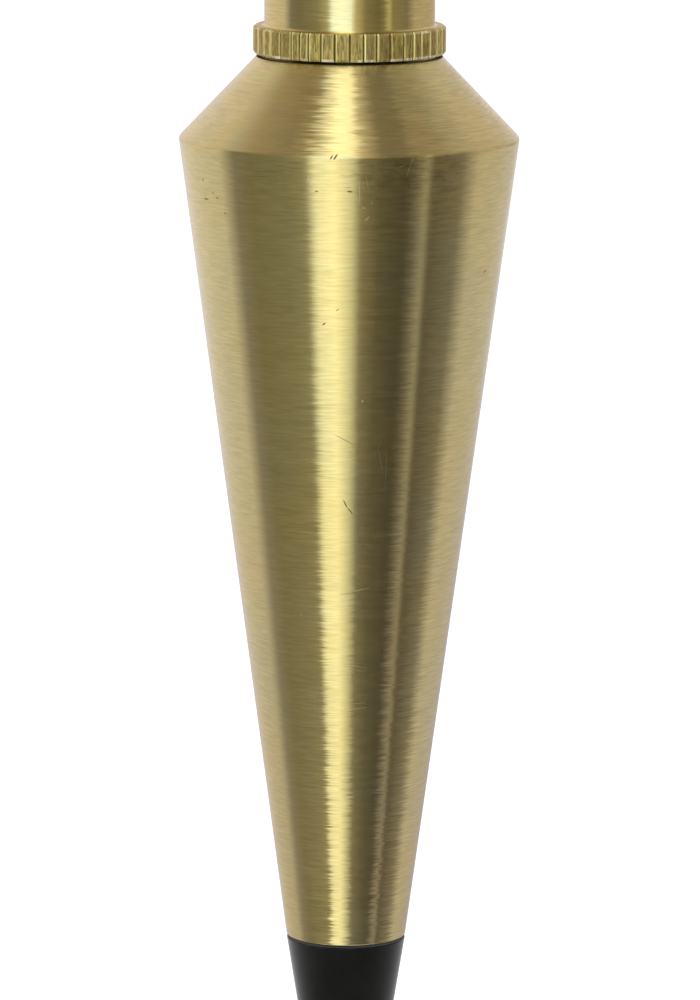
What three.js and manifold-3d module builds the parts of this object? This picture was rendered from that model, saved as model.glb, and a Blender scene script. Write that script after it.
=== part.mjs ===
// Surveyor's plumb bob: a solid brass bob with a screw-off cap, a replaceable
// steel point and the line it hangs from.
// Millimetres, +Z up. The origin is the point of the steel tip, and +Z runs up
// the common axis of all four pieces.
import * as THREE from 'three';
import { mergeVertices } from 'three/addons/utils/BufferGeometryUtils.js';
import Module from 'manifold-3d';

// ---------------------------------------------------- dimensions pieces share
const TURNED_SEGMENTS = 64;     // facets round the large turned surfaces
const BORE_SEGMENTS = 32;       // facets round the plain bores

const TIP_TOP_Z = 37.9;         // flat shoulder of the tip, just under the body
const RING_LOW_Z = 133.2;       // underside of the knurled ring

// Thread of the cap stub and the body socket, M14 x 1.5
const CAP_MAJOR_R = 6.85;
const CAP_MINOR_R = 6.05;
const CAP_PITCH = 1.5;
const CAP_SEGMENTS = 28;        // facets per turn
const STUB_LOW_Z = 124.7;       // end of the threaded stub
const HELIX_START_Z = STUB_LOW_Z + 0.75;

// -------------------------------------------------------------------- solids
const { setup, ...wasm } = { setup: null, ...(await loadManifold()) };

async function loadManifold() {
  const module = await Module();
  module.setup();
  return { Manifold: module.Manifold, Mesh: module.Mesh };
}

function indexedGeometry(positions, indices) {
  const geometry = new THREE.BufferGeometry();
  geometry.setAttribute('position', new THREE.Float32BufferAttribute(positions, 3));
  geometry.setIndex(Array.from(indices));
  return geometry;
}

// Joins coincident vertices, so that the surface closes.
function welded(geometry) {
  geometry.deleteAttribute('normal');
  geometry.deleteAttribute('uv');
  return mergeVertices(geometry, 1e-5);
}

function solid(geometry) {
  const closed = welded(geometry);
  return new wasm.Manifold(new wasm.Mesh({
    numProp: 3,
    vertProperties: new Float32Array(closed.attributes.position.array),
    triVerts: new Uint32Array(closed.index.array),
  }));
}

function geometryOf(manifold) {
  const mesh = manifold.getMesh();
  const geometry = indexedGeometry(mesh.vertProperties, mesh.triVerts);
  geometry.computeVertexNormals();
  return geometry;
}

// A turned shape: points are [radius, z], from the axis at the bottom to the
// axis at the top.
function turned(points, segments = TURNED_SEGMENTS) {
  const profile = points.map(([radius, z]) => new THREE.Vector2(radius, z));
  return new THREE.LatheGeometry(profile, segments).rotateX(Math.PI / 2);
}

const turnedSolid = (points, segments) => solid(turned(points, segments));

const polar = (radius, angle, z) => [radius * Math.cos(angle), radius * Math.sin(angle), z];

// A screw ridge: a trapezoid swept along a right-hand helix. Its base is buried
// inside rootR at innerR, and its crest sinks towards the base over the first
// and last fade of a turn.
function ridge({
  innerR, rootR, crestR, crestWidth, pitch, startZ, turns, segments, fade = 0.35,
}) {
  const steps = Math.round(turns * segments);
  const fadeSteps = fade * segments;
  const lowestCrestR = innerR + 0.05;
  const leastFade = 0.04;       // keeps the ends from closing to nothing
  const buriedShare = 0.2;      // share of the flank slope kept below the root
  const flankDepth = crestR - rootR + buriedShare * (rootR - innerR);
  const innerWidth = crestWidth + 2 * flankDepth * Math.tan(Math.PI / 6);
  const positions = [];
  const indices = [];
  for (let i = 0; i <= steps; i++) {
    const angle = (i / segments) * 2 * Math.PI;
    const z = startZ + pitch * i / segments;
    const height = Math.max(leastFade, Math.min(1, i / fadeSteps, (steps - i) / fadeSteps));
    const outerR = lowestCrestR + (crestR - lowestCrestR) * height;
    positions.push(
      ...polar(innerR, angle, z - innerWidth / 2),
      ...polar(outerR, angle, z - crestWidth / 2),
      ...polar(outerR, angle, z + crestWidth / 2),
      ...polar(innerR, angle, z + innerWidth / 2),
    );
  }
  for (let i = 0; i < steps; i++) {
    for (let k = 0; k < 4; k++) {
      const corner = 4 * i + k;
      const next = 4 * i + (k + 1) % 4;
      indices.push(corner, corner + 4, next, next, corner + 4, next + 4);
    }
  }
  const end = 4 * steps;
  indices.push(0, 1, 2, 0, 2, 3);
  indices.push(end, end + 2, end + 1, end, end + 3, end + 2);
  return solid(indexedGeometry(positions, indices));
}

// ---------------------------------------------------------------- brass body
const BODY_R = 18.0;            // radius at the shoulder crease
const SHOULDER_Z = 124.3;       // height of the shoulder crease
const SHOULDER_ROUND = 0.22;
const BODY_TOP_Z = 132.86;      // flat seat under the cap
const BODY_TOP_R = 9.84;
const BODY_LOW_Z = 38.15;       // flat face over the steel tip
const BODY_LOW_R = 6.38;
const BODY_LOW_ROUND = 0.16;

const THREAD_GAP = 0.25;        // radial clearance between the cap threads
const SOCKET_MINOR_R = CAP_MINOR_R + THREAD_GAP;
const SOCKET_MAJOR_R = CAP_MAJOR_R + THREAD_GAP;
const SOCKET_LOW_Z = 123.3;
const SOCKET_CONE = 1.2;        // depth of the conical floor
const RELIEF_R = 7.45;          // plain recess at the socket's mouth
const RELIEF_DEPTH = 0.7;
const RELIEF_CHAMFER = 0.2;

const BORE_R = 3.32;            // bore that takes the stud of the tip
const BORE_TOP_Z = 48.7;
const BORE_POINT_Z = 50.5;      // drill point
const BORE_CHAMFER = 0.45;

function bodyBlank() {
  const lowSlope = (BODY_R - BODY_LOW_R) / (SHOULDER_Z - BODY_LOW_Z);   // radius per height
  const topSlope = (BODY_TOP_Z - SHOULDER_Z) / (BODY_R - BODY_TOP_R);   // height per radius
  const lowRise = BODY_LOW_ROUND * 1.6;
  const shoulderDrop = SHOULDER_ROUND * 1.2;
  return turnedSolid([
    [0, BODY_LOW_Z],
    [BODY_LOW_R - BODY_LOW_ROUND, BODY_LOW_Z],
    [BODY_LOW_R - 0.03, BODY_LOW_Z + BODY_LOW_ROUND * 0.45],
    [BODY_LOW_R + lowSlope * lowRise, BODY_LOW_Z + lowRise],
    [BODY_R - lowSlope * shoulderDrop, SHOULDER_Z - shoulderDrop],
    [BODY_R - 0.05, SHOULDER_Z],
    [BODY_R - SHOULDER_ROUND, SHOULDER_Z + topSlope * SHOULDER_ROUND],
    [BODY_TOP_R + 0.1, BODY_TOP_Z - topSlope * 0.1],
    [BODY_TOP_R - 0.08, BODY_TOP_Z],
    [0, BODY_TOP_Z],
  ]);
}

// Both profiles run on past the body's faces, to cut clean through them.
function socketCut() {
  const reliefLowZ = BODY_TOP_Z - RELIEF_DEPTH;
  return turnedSolid([
    [0, SOCKET_LOW_Z - SOCKET_CONE],
    [SOCKET_MINOR_R - 0.2, SOCKET_LOW_Z],
    [SOCKET_MINOR_R, SOCKET_LOW_Z + 0.2],
    [SOCKET_MINOR_R, reliefLowZ - 0.4],
    [RELIEF_R, reliefLowZ],
    [RELIEF_R, BODY_TOP_Z - RELIEF_CHAMFER],
    [RELIEF_R + 2 * RELIEF_CHAMFER, BODY_TOP_Z + RELIEF_CHAMFER],
    [0, BODY_TOP_Z + RELIEF_CHAMFER],
  ], CAP_SEGMENTS);
}

function boreCut() {
  return turnedSolid([
    [0, BODY_LOW_Z - 1],
    [BORE_R + BORE_CHAMFER, BODY_LOW_Z - 1],
    [BORE_R + BORE_CHAMFER, BODY_LOW_Z],
    [BORE_R, BODY_LOW_Z + BORE_CHAMFER],
    [BORE_R, BORE_TOP_Z],
    [0, BORE_POINT_Z],
  ], BORE_SEGMENTS);
}

function brassBody() {
  // One whole pitch below the stub's start, so the two helices are in mesh.
  const socketThread = ridge({
    innerR: SOCKET_MINOR_R - 0.25,
    rootR: SOCKET_MINOR_R,
    crestR: SOCKET_MAJOR_R,
    crestWidth: 0.36,
    pitch: CAP_PITCH,
    startZ: HELIX_START_Z - CAP_PITCH,
    turns: 6.25,
    segments: CAP_SEGMENTS,
    fade: 0.2,
  });
  return bodyBlank().subtract(socketCut()).subtract(socketThread).subtract(boreCut());
}

// ----------------------------------------------------------------- screw cap
const NECK_R = 9.0;
const CAP_TOP_Z = 148.0;
const CAP_TOP_FLAT_R = 6.0;
const NECK_STRAIGHT_Z = 144.6;  // where the rounded top edge begins
const NECK_ROUND_STEPS = 6;
const NECK_FOOT = 0.28;         // flare of the neck where it meets the ring
const RING_R = 10.165;          // over the knurl
const RING_TOP_Z = 136.15;
const RING_CHAMFER = 0.25;
const KNURL_COUNT = 42;
const KNURL_DEPTH = 0.24;
const KNURL_GROOVE = 0.18;      // share of the pitch taken by a groove
const STUB_CHAMFER = 0.35;
const CAVITY_R = 4.6;           // room for the knot
const CAVITY_TOP_Z = 144.5;
const CAVITY_TOP_CHAMFER = 0.4;
const CAVITY_MOUTH_CHAMFER = 0.3;
const LINE_HOLE_R = 1.35;
const LINE_SINK_R = 2.1;        // countersink at the top of the line hole

// Straight grooves round a disc with both edges chamfered.
function knurledRing() {
  const grooveR = RING_R - KNURL_DEPTH;
  const chamferR = RING_R - RING_CHAMFER;
  const toothProfile = [        // [share of the pitch, radius]
    [0, grooveR],
    [KNURL_GROOVE / 2, RING_R],
    [0.5, RING_R],
    [1 - KNURL_GROOVE / 2, RING_R],
  ];
  const rows = [                // [z, largest radius]
    [RING_LOW_Z, chamferR],
    [RING_LOW_Z + RING_CHAMFER, RING_R],
    [RING_TOP_Z - RING_CHAMFER, RING_R],
    [RING_TOP_Z, chamferR],
  ];
  const positions = [];
  const indices = [];
  for (const [z, largestR] of rows) {
    for (let i = 0; i < KNURL_COUNT; i++) {
      for (const [share, radius] of toothProfile) {
        const angle = (i + share) / KNURL_COUNT * 2 * Math.PI;
        positions.push(...polar(Math.min(radius, largestR), angle, z));
      }
    }
  }
  const columns = KNURL_COUNT * toothProfile.length;
  const lowCentre = rows.length * columns;
  const topCentre = lowCentre + 1;
  const topRow = lowCentre - columns;
  positions.push(0, 0, RING_LOW_Z, 0, 0, RING_TOP_Z);
  for (let i = 0; i < columns; i++) {
    const next = (i + 1) % columns;
    for (let row = 0; row < topRow; row += columns) {
      const a = row + i;
      const b = row + next;
      indices.push(a, b, a + columns, b, b + columns, a + columns);
    }
    indices.push(lowCentre, next, i);
    indices.push(topCentre, topRow + i, topRow + next);
  }
  return solid(indexedGeometry(positions, indices));
}

function neck() {
  const coreR = NECK_R - 0.6;   // hidden inside the ring
  const footZ = RING_TOP_Z - 0.3;
  const points = [
    [0, RING_LOW_Z + 0.5],
    [coreR, RING_LOW_Z + 0.5],
    [coreR, footZ],
    [NECK_R + NECK_FOOT, footZ],
    [NECK_R + NECK_FOOT, RING_TOP_Z],
    [NECK_R + 0.08, RING_TOP_Z + 0.1],
    [NECK_R, RING_TOP_Z + 0.3],
  ];
  for (let i = 0; i <= NECK_ROUND_STEPS; i++) {
    const angle = (i / NECK_ROUND_STEPS) * Math.PI / 2;
    points.push([
      CAP_TOP_FLAT_R + (NECK_R - CAP_TOP_FLAT_R) * Math.cos(angle),
      NECK_STRAIGHT_Z + (CAP_TOP_Z - NECK_STRAIGHT_Z) * Math.sin(angle),
    ]);
  }
  points.push([0, CAP_TOP_Z]);
  return turnedSolid(points);
}

function threadedStub() {
  const topZ = RING_LOW_Z + 0.8;  // runs up into the ring
  const core = turnedSolid([
    [0, STUB_LOW_Z],
    [CAP_MINOR_R - STUB_CHAMFER, STUB_LOW_Z],
    [CAP_MINOR_R, STUB_LOW_Z + STUB_CHAMFER],
    [CAP_MINOR_R, topZ],
    [0, topZ],
  ], CAP_SEGMENTS);
  return { core, thread: ridge({
    innerR: CAP_MINOR_R - 0.25,
    rootR: CAP_MINOR_R,
    crestR: CAP_MAJOR_R,
    crestWidth: 0.25,
    pitch: CAP_PITCH,
    startZ: HELIX_START_Z,
    turns: 4.25,
    segments: CAP_SEGMENTS,
  }) };
}

// The knot's cavity, open at the bottom, and the line hole above it.
function cavityCut() {
  const mouthR = CAVITY_R + CAVITY_MOUTH_CHAMFER;
  const overrun = 0.3;          // carries the countersink past the cap's top
  return turnedSolid([
    [0, STUB_LOW_Z - 1],
    [mouthR, STUB_LOW_Z - 1],
    [mouthR, STUB_LOW_Z],
    [CAVITY_R, STUB_LOW_Z + CAVITY_MOUTH_CHAMFER],
    [CAVITY_R, CAVITY_TOP_Z - CAVITY_TOP_CHAMFER],
    [CAVITY_R - CAVITY_TOP_CHAMFER, CAVITY_TOP_Z],
    [LINE_HOLE_R, CAVITY_TOP_Z],
    [LINE_HOLE_R, CAP_TOP_Z - (LINE_SINK_R - LINE_HOLE_R)],
    [LINE_SINK_R + overrun, CAP_TOP_Z + overrun],
    [0, CAP_TOP_Z + overrun],
  ], BORE_SEGMENTS);
}

function screwCap() {
  const { core, thread } = threadedStub();
  return neck().add(knurledRing()).add(core).add(thread).subtract(cavityCut());
}

// ----------------------------------------------------------------- steel tip
const TIP_TOP_R = 6.36;
const TIP_POINT_R = 0.22;       // blunting of the point
const STUD_TOP_Z = 47.4;
const STUD_MAJOR_R = 3.0;       // M6 x 1
const STUD_MINOR_R = 2.48;
const STUD_PITCH = 1.0;
const STUD_SEGMENTS = 18;       // facets per turn
const STUD_UNDERCUT_R = 2.3;
const STUD_CHAMFER = 0.5;

function steelTip() {
  const cone = turnedSolid([
    [0, 0],
    [TIP_POINT_R * 0.7, 0.06],
    [TIP_POINT_R, 0.3],
    [TIP_TOP_R - 0.02, TIP_TOP_Z - 0.18],
    [TIP_TOP_R - 0.16, TIP_TOP_Z],
    [0, TIP_TOP_Z],
  ], 48);
  const studCore = turnedSolid([
    [0, TIP_TOP_Z - 1],
    [STUD_UNDERCUT_R, TIP_TOP_Z - 1],
    [STUD_UNDERCUT_R, TIP_TOP_Z + 0.9],
    [STUD_MINOR_R, TIP_TOP_Z + 1.1],
    [STUD_MINOR_R, STUD_TOP_Z - STUD_CHAMFER],
    [STUD_MINOR_R - STUD_CHAMFER, STUD_TOP_Z],
    [0, STUD_TOP_Z],
  ], STUD_SEGMENTS);
  const studThread = ridge({
    innerR: STUD_MINOR_R - 0.2,
    rootR: STUD_MINOR_R,
    crestR: STUD_MAJOR_R,
    crestWidth: 0.14,
    pitch: STUD_PITCH,
    startZ: TIP_TOP_Z + 1.5,
    turns: 7.2,
    segments: STUD_SEGMENTS,
  });
  return cone.add(studCore).add(studThread);
}

// ---------------------------------------------------------------- plumb line
const LINE_R = 0.9;
const LINE_TOP_Z = 200.0;
const KNOT_R = 2.95;
const KNOT_LOW_Z = 138.1;
const KNOT_TOP_Z = 144.1;
const TAIL_LOW_Z = 134.6;

function plumbLine() {
  const geometry = welded(turned([
    [0, TAIL_LOW_Z],
    [LINE_R, TAIL_LOW_Z],
    [LINE_R, KNOT_LOW_Z],
    [KNOT_R * 0.78, KNOT_LOW_Z + 0.5],
    [KNOT_R, KNOT_LOW_Z + 1.7],
    [KNOT_R, KNOT_TOP_Z - 1.9],
    [KNOT_R * 0.72, KNOT_TOP_Z - 0.5],
    [LINE_R, KNOT_TOP_Z],
    [LINE_R, LINE_TOP_Z],
    [0, LINE_TOP_Z],
  ], 16));
  geometry.computeVertexNormals();
  return geometry;
}

// ------------------------------------------------------------------ assembly
const BRASS = { color: 0xa9924f, metalness: 1.0, roughness: 0.32 };
const DARK_STEEL = { color: 0x232323, metalness: 0.6, roughness: 0.55 };
const PALE_CORD = { color: 0xe6e1d2, metalness: 0.0, roughness: 0.85 };

const group = new THREE.Group();
group.name = 'plumb_bob';

function addPiece(name, geometry, material) {
  const mesh = new THREE.Mesh(geometry, new THREE.MeshStandardMaterial(material));
  mesh.name = name;
  group.add(mesh);
}

addPiece('brass_body', geometryOf(brassBody()), BRASS);
addPiece('screw_cap', geometryOf(screwCap()), BRASS);
addPiece('steel_tip', geometryOf(steelTip()), DARK_STEEL);
addPiece('plumb_line', plumbLine(), PALE_CORD);

export default group;
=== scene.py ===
# Plumb bob: a turned brass body with a knurled screw cap, a black steel point and a
# braided line. It hangs along +Z with its point at the origin and its axis on Z; the
# camera looks at it from -Y. Lengths are in mm up to make_object, and materials read
# object positions in mm; the floor, lamp and camera are in metres.
import math

import bpy
import numpy as np
from mathutils import Matrix, Vector


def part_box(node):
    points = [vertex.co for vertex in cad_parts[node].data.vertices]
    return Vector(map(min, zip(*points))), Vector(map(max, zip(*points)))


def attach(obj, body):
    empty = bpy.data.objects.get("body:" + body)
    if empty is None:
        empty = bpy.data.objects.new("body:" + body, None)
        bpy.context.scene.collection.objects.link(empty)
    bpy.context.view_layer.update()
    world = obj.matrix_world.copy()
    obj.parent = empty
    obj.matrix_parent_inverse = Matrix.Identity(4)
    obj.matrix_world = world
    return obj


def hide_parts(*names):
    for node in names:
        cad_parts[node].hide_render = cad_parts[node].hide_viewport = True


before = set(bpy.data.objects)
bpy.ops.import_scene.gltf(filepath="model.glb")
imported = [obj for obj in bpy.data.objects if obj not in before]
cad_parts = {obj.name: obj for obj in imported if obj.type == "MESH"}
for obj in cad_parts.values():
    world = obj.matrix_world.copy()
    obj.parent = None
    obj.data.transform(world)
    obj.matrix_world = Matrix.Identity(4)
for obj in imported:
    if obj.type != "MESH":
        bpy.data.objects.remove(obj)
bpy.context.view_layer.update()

MM = 0.001
TAU = 2 * math.pi


# ------------------------------------------------------------------ sizes (mm)
def node_heights(name):
    """The lowest and highest z of a CAD node."""
    lo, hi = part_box(name)
    return lo[2] / MM, hi[2] / MM


BODY_LOW_Z, BODY_TOP_Z = node_heights("brass_body")
STUB_LOW_Z, CAP_TOP_Z = node_heights("screw_cap")
STUD_TOP_Z = node_heights("steel_tip")[1]
TAIL_LOW_Z, LINE_TOP_Z = node_heights("plumb_line")

# Body: a long cone up to the shoulder, then a short steep one up to the seat of the cap
BODY_R = 18.0
BODY_TOP_R = 9.84
BODY_LOW_R = 6.38
SHOULDER_Z = BODY_TOP_Z - 8.56

# Cap: threaded stub, knurled ring, domed neck, hollow inside
RING_R = 10.165
RING_LOW_Z = STUB_LOW_Z + 8.5
RING_TOP_Z = RING_LOW_Z + 2.95
NECK_R = 9.0
CAVITY_R, CAVITY_TOP_Z = 4.6, 144.5
LINE_HOLE_R, LINE_SINK_R = 1.35, 2.1
KNURLS = 42

# The cap's thread and the body's socket share one helix
HELIX_Z0 = STUB_LOW_Z + 0.75
CAP_PITCH = 1.5
CAP_MINOR_R, CAP_MAJOR_R = 6.05, 6.85
CAP_CREST = 0.25
THREAD_GAP = 0.25
SOCKET_MINOR_R = CAP_MINOR_R + THREAD_GAP
SOCKET_MAJOR_R = CAP_MAJOR_R + THREAD_GAP
SOCKET_CREST = 0.36
SOCKET_LOW_Z = 123.3
SOCKET_THREAD_Z = 124.0

# Steel point: a cone with a threaded stud on top
TIP_TOP_Z = BODY_LOW_Z - 0.25
TIP_TOP_R = 6.36
STUD_MINOR_R, STUD_MAJOR_R, STUD_PITCH, STUD_CREST = 2.48, 3.0, 1.0, 0.14

# Line and the knot inside the cap
LINE_R = 0.9
KNOT_Z = 140.75
KNOT_RING_R, KNOT_TURN_R = 2.2, 1.06
RING_STEP = 0.085           # between cross-sections
ROUND = 56                  # points round the line
CARRIERS = 6                # yarns each way
PICK = 1.05                 # between yarn crossings
YARN_HEIGHT = 0.16

CREASE_ANGLE = 38           # degrees; steeper edges are shaded sharp


# ---------------------------------------------------------------- mesh helpers
def make_object(name, verts, quads, tris, mats, face_slots=None, sharp=None):
    """A smooth-shaded mesh object from arrays; verts are in mm."""
    mesh = bpy.data.meshes.new(name)
    quad_count, tri_count = len(quads), len(tris)
    face_count = quad_count + tri_count
    mesh.vertices.add(len(verts))
    mesh.vertices.foreach_set("co", (verts * MM).astype(np.float32).ravel())
    loops = np.concatenate([quads.ravel(), tris.ravel()])
    mesh.loops.add(len(loops))
    mesh.loops.foreach_set("vertex_index", loops.astype(np.int32))
    mesh.polygons.add(face_count)
    starts = np.concatenate([np.arange(quad_count) * 4, quad_count * 4 + np.arange(tri_count) * 3])
    mesh.polygons.foreach_set("loop_start", starts.astype(np.int32))
    mesh.update(calc_edges=True)
    mesh.validate()
    mesh.polygons.foreach_set("use_smooth", np.ones(face_count, bool))
    for mat in mats:
        mesh.materials.append(mat)
    if face_slots is not None:
        mesh.polygons.foreach_set("material_index", face_slots.astype(np.int32))
    if sharp:
        mesh.set_sharp_from_angle(angle=math.radians(sharp))
    mesh.update()
    return link_object(name, mesh)


def link_object(name, data):
    ob = bpy.data.objects.new(name, data)
    bpy.context.scene.collection.objects.link(ob)
    return ob


def add_attribute(ob, name, values):
    attribute = ob.data.attributes.new(name, "FLOAT", "POINT")
    attribute.data.foreach_set("value", values.astype(np.float32))


def rounded(points):
    """A polyline of (r, z[, corner radius[, corner steps]]) with its corners rounded."""
    out = []
    for i, point in enumerate(points):
        corner = np.array(point[:2], float)
        radius = point[2] if len(point) > 2 else 0
        if radius <= 0 or i in (0, len(points) - 1):
            out.append(corner)
            continue
        back = np.array(points[i - 1][:2], float) - corner
        ahead = np.array(points[i + 1][:2], float) - corner
        back_len, ahead_len = np.linalg.norm(back), np.linalg.norm(ahead)
        back, ahead = back / back_len, ahead / ahead_len
        half = math.acos(max(-1, min(1, float(back @ ahead)))) / 2
        # the arc takes up at most half of either side
        cut = min(radius / math.tan(half), 0.49 * back_len, 0.49 * ahead_len)
        radius = cut * math.tan(half)
        bisector = (back + ahead) / np.linalg.norm(back + ahead)
        centre = corner + bisector * (radius / math.sin(half))
        start, end = corner + back * cut - centre, corner + ahead * cut - centre
        first = math.atan2(start[1], start[0])
        sweep = (math.atan2(end[1], end[0]) - first + math.pi) % TAU - math.pi
        steps = point[3] if len(point) > 3 else 6
        for k in range(steps + 1):
            angle = first + sweep * k / steps
            out.append(centre + radius * np.array([math.cos(angle), math.sin(angle)]))
    return out


def wall(r, z0, z1, step):
    """Rows along a straight wall, so that a thread can be cut into it."""
    count = max(1, int(round(abs(z1 - z0) / step)))
    return [np.array([r, z0 + (z1 - z0) * k / count]) for k in range(count + 1)]


def revolve(profile, bearings, shape, closed=False):
    """Turns a profile of (r, z) rows about Z; shape(r, z, row, bearings) gives the radii.
    Returns vertices, quads and triangles. A profile going up on the outside faces out."""
    columns = len(bearings)
    cos, sin = np.cos(bearings), np.sin(bearings)
    verts, starts, poles = [], [], []
    count = 0
    for row, (r, z) in enumerate(profile):
        starts.append(count)
        poles.append(r < 1e-9)
        if poles[-1]:
            verts.append(np.array([[0, 0, z]]))
            count += 1
        else:
            radii = shape(r, z, row, bearings)
            verts.append(np.c_[radii * cos, radii * sin, np.full(columns, z)])
            count += columns
    quads, tris = [], []
    j = np.arange(columns)
    k = (j + 1) % columns
    pairs = [(i, i + 1) for i in range(len(profile) - 1)]
    if closed:
        pairs.append((len(profile) - 1, 0))
    for low, high in pairs:
        a, b = starts[low], starts[high]
        if poles[low]:
            tris.append(np.c_[np.full(columns, a), b + k, b + j])
        elif poles[high]:
            tris.append(np.c_[a + j, a + k, np.full(columns, b)])
        else:
            quads.append(np.c_[a + j, a + k, b + k, b + j])
    tris = np.vstack(tris) if tris else np.zeros((0, 3), int)
    return np.vstack(verts), np.vstack(quads), tris


def even_bearings(count):
    return np.arange(count) * TAU / count


def ease(x):
    x = np.clip(x, 0, 1)
    return x * x * (3 - 2 * x)


def thread(z, bearings, start_z, pitch, crest, depth):
    """How far a right-hand thread stands above its root; crest is its width at the top."""
    base = crest + 2 * depth * math.tan(math.pi / 6)
    phase = (z - start_z) / pitch - bearings / TAU
    away = np.abs(phase - np.round(phase)) * pitch
    height = np.clip((base / 2 - away) / ((base - crest) / 2), 0, 1)
    return depth * (height * 0.55 + 0.45 * ease(height))


# ----------------------------------------------------------------- node helper
class Nodes:
    """Builds the node tree of a material or world."""

    def __init__(self, owner):
        owner.use_nodes = True
        self.owner = owner
        self.tree = owner.node_tree
        self.tree.nodes.clear()

    def new(self, kind, **settings):
        node = self.tree.nodes.new(kind)
        for name, value in settings.items():
            setattr(node, name, value)
        return node

    def put(self, socket, value):
        """Links or sets a socket; None leaves it alone."""
        if isinstance(value, bpy.types.NodeSocket):
            self.tree.links.new(value, socket)
        elif value is not None:
            socket.default_value = value

    def put_all(self, sockets, values):
        for socket, value in zip(sockets, values):
            self.put(socket, value)

    def math(self, operation, first, second=None, clamp=False):
        node = self.new("ShaderNodeMath", operation=operation, use_clamp=clamp)
        self.put_all(node.inputs, (first, second))
        return node.outputs[0]

    def add(self, first, second):
        return self.math("ADD", first, second)

    def sub(self, first, second):
        return self.math("SUBTRACT", first, second)

    def mul(self, first, second):
        return self.math("MULTIPLY", first, second)

    def max(self, first, second):
        return self.math("MAXIMUM", first, second)

    def vector(self, operation, first, second=None, output="Vector"):
        node = self.new("ShaderNodeVectorMath", operation=operation)
        self.put_all(node.inputs, (first, second))
        return node.outputs[output]

    def scale(self, vector, factor):
        node = self.new("ShaderNodeVectorMath", operation="SCALE")
        self.put(node.inputs[0], vector)
        self.put(node.inputs["Scale"], factor)
        return node.outputs["Vector"]

    def split(self, vector):
        node = self.new("ShaderNodeSeparateXYZ")
        self.put(node.inputs[0], vector)
        return tuple(node.outputs)

    def position(self):
        """The object position in mm."""
        return self.scale(self.new("ShaderNodeTexCoord").outputs["Object"], 1 / MM)

    def noise(self, vector, detail, rough):
        node = self.new("ShaderNodeTexNoise")
        self.put(node.inputs["Vector"], vector)
        self.put(node.inputs["Scale"], 1.0)
        self.put(node.inputs["Detail"], detail)
        self.put(node.inputs["Roughness"], rough)
        return node.outputs["Fac"]

    def cloud(self, position, density, detail, rough=0.6):
        """Noise with its own density along x, y and z."""
        return self.noise(self.vector("MULTIPLY", position, density), detail, rough)

    def grain(self, axes, across, along, detail, rough):
        """Noise from split axes, with one density in x and y and another in z."""
        node = self.new("ShaderNodeCombineXYZ")
        scaled = [self.mul(a, d) for a, d in zip(axes, (across, across, along))]
        self.put_all(node.inputs, scaled)
        return self.noise(node.outputs[0], detail, rough)

    def ramp(self, fac, stops):
        node = self.new("ShaderNodeValToRGB")
        elements = node.color_ramp.elements
        elements.remove(elements[-1])
        elements[0].position = stops[0][0]
        elements[0].color = (*stops[0][1], 1.0)
        for place, colour in stops[1:]:
            elements.new(place).color = (*colour, 1.0)
        self.put(node.inputs[0], fac)
        return node.outputs[0]

    def mix(self, fac, first, second):
        node = self.new("ShaderNodeMix", data_type="RGBA", blend_type="MIX")
        self.put(node.inputs[0], fac)
        self.put(node.inputs[6], first)
        self.put(node.inputs[7], second)
        return node.outputs[2]

    def fade(self, x, start, end, low=0.0, high=1.0, kind="SMOOTHSTEP"):
        """low where x is at start, high where it is at end; start may be above end."""
        node = self.new("ShaderNodeMapRange", interpolation_type=kind)
        self.put_all(node.inputs, (x, start, end, low, high))
        return node.outputs[0]

    def attribute(self, name):
        return self.new("ShaderNodeAttribute", attribute_name=name).outputs["Fac"]

    def bump(self, height, strength, distance, normal=None):
        node = self.new("ShaderNodeBump")
        self.put(node.inputs["Strength"], strength)
        self.put(node.inputs["Distance"], distance)
        self.put(node.inputs["Height"], height)
        self.put(node.inputs["Normal"], normal)
        return node.outputs[0]

    def finish(self, shader_kind, inputs, output_kind="ShaderNodeOutputMaterial"):
        """Adds the shader and the output, and returns the material or world."""
        shader = self.new(shader_kind)
        for name, value in inputs.items():
            self.put(shader.inputs[name], value)
        self.put(self.new(output_kind).inputs["Surface"], shader.outputs[0])
        return self.owner


def new_nodes(name):
    return Nodes(bpy.data.materials.new(name))


# ----------------------------------------------------------------------- brass
BRASS = (0.80, 0.72, 0.31, 1)
BRASS_WARM = (0.81, 0.69, 0.28, 1)
BRASS_DULL = (0.69, 0.61, 0.32, 1)
# painted shade for the dark gap between the ring and the body's seat
GAP_PAINTED_SHADE = (0.17, 0.13, 0.075, 1)
HANDLED = (0.36, 0.31, 0.17, 1)
DARK_MARK = (0.05, 0.035, 0.02, 1)
PALE_MARK = (1.0, 0.93, 0.66, 1)
SHELF_TINT = (0.80, 0.68, 0.40, 1)
LAND_SCORED = (0.38, 0.30, 0.105, 1)
LAND_DULL = (0.72, 0.58, 0.245, 1)
LAND_BRIGHT = (1.0, 0.88, 0.26, 1)
# rubbed flank metal with a painted highlight on it
FLANK_RUB_AND_HIGHLIGHT = (1.0, 0.92, 0.36, 1)
# pale rubbed metal with painted glints on the ring's edges
EDGE_RUB_AND_GLINT = (1.0, 0.95, 0.72, 1)
# painted shade in the bottoms of the knurl grooves
GROOVE_SHADE = (0.10, 0.075, 0.03, 1)

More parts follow.
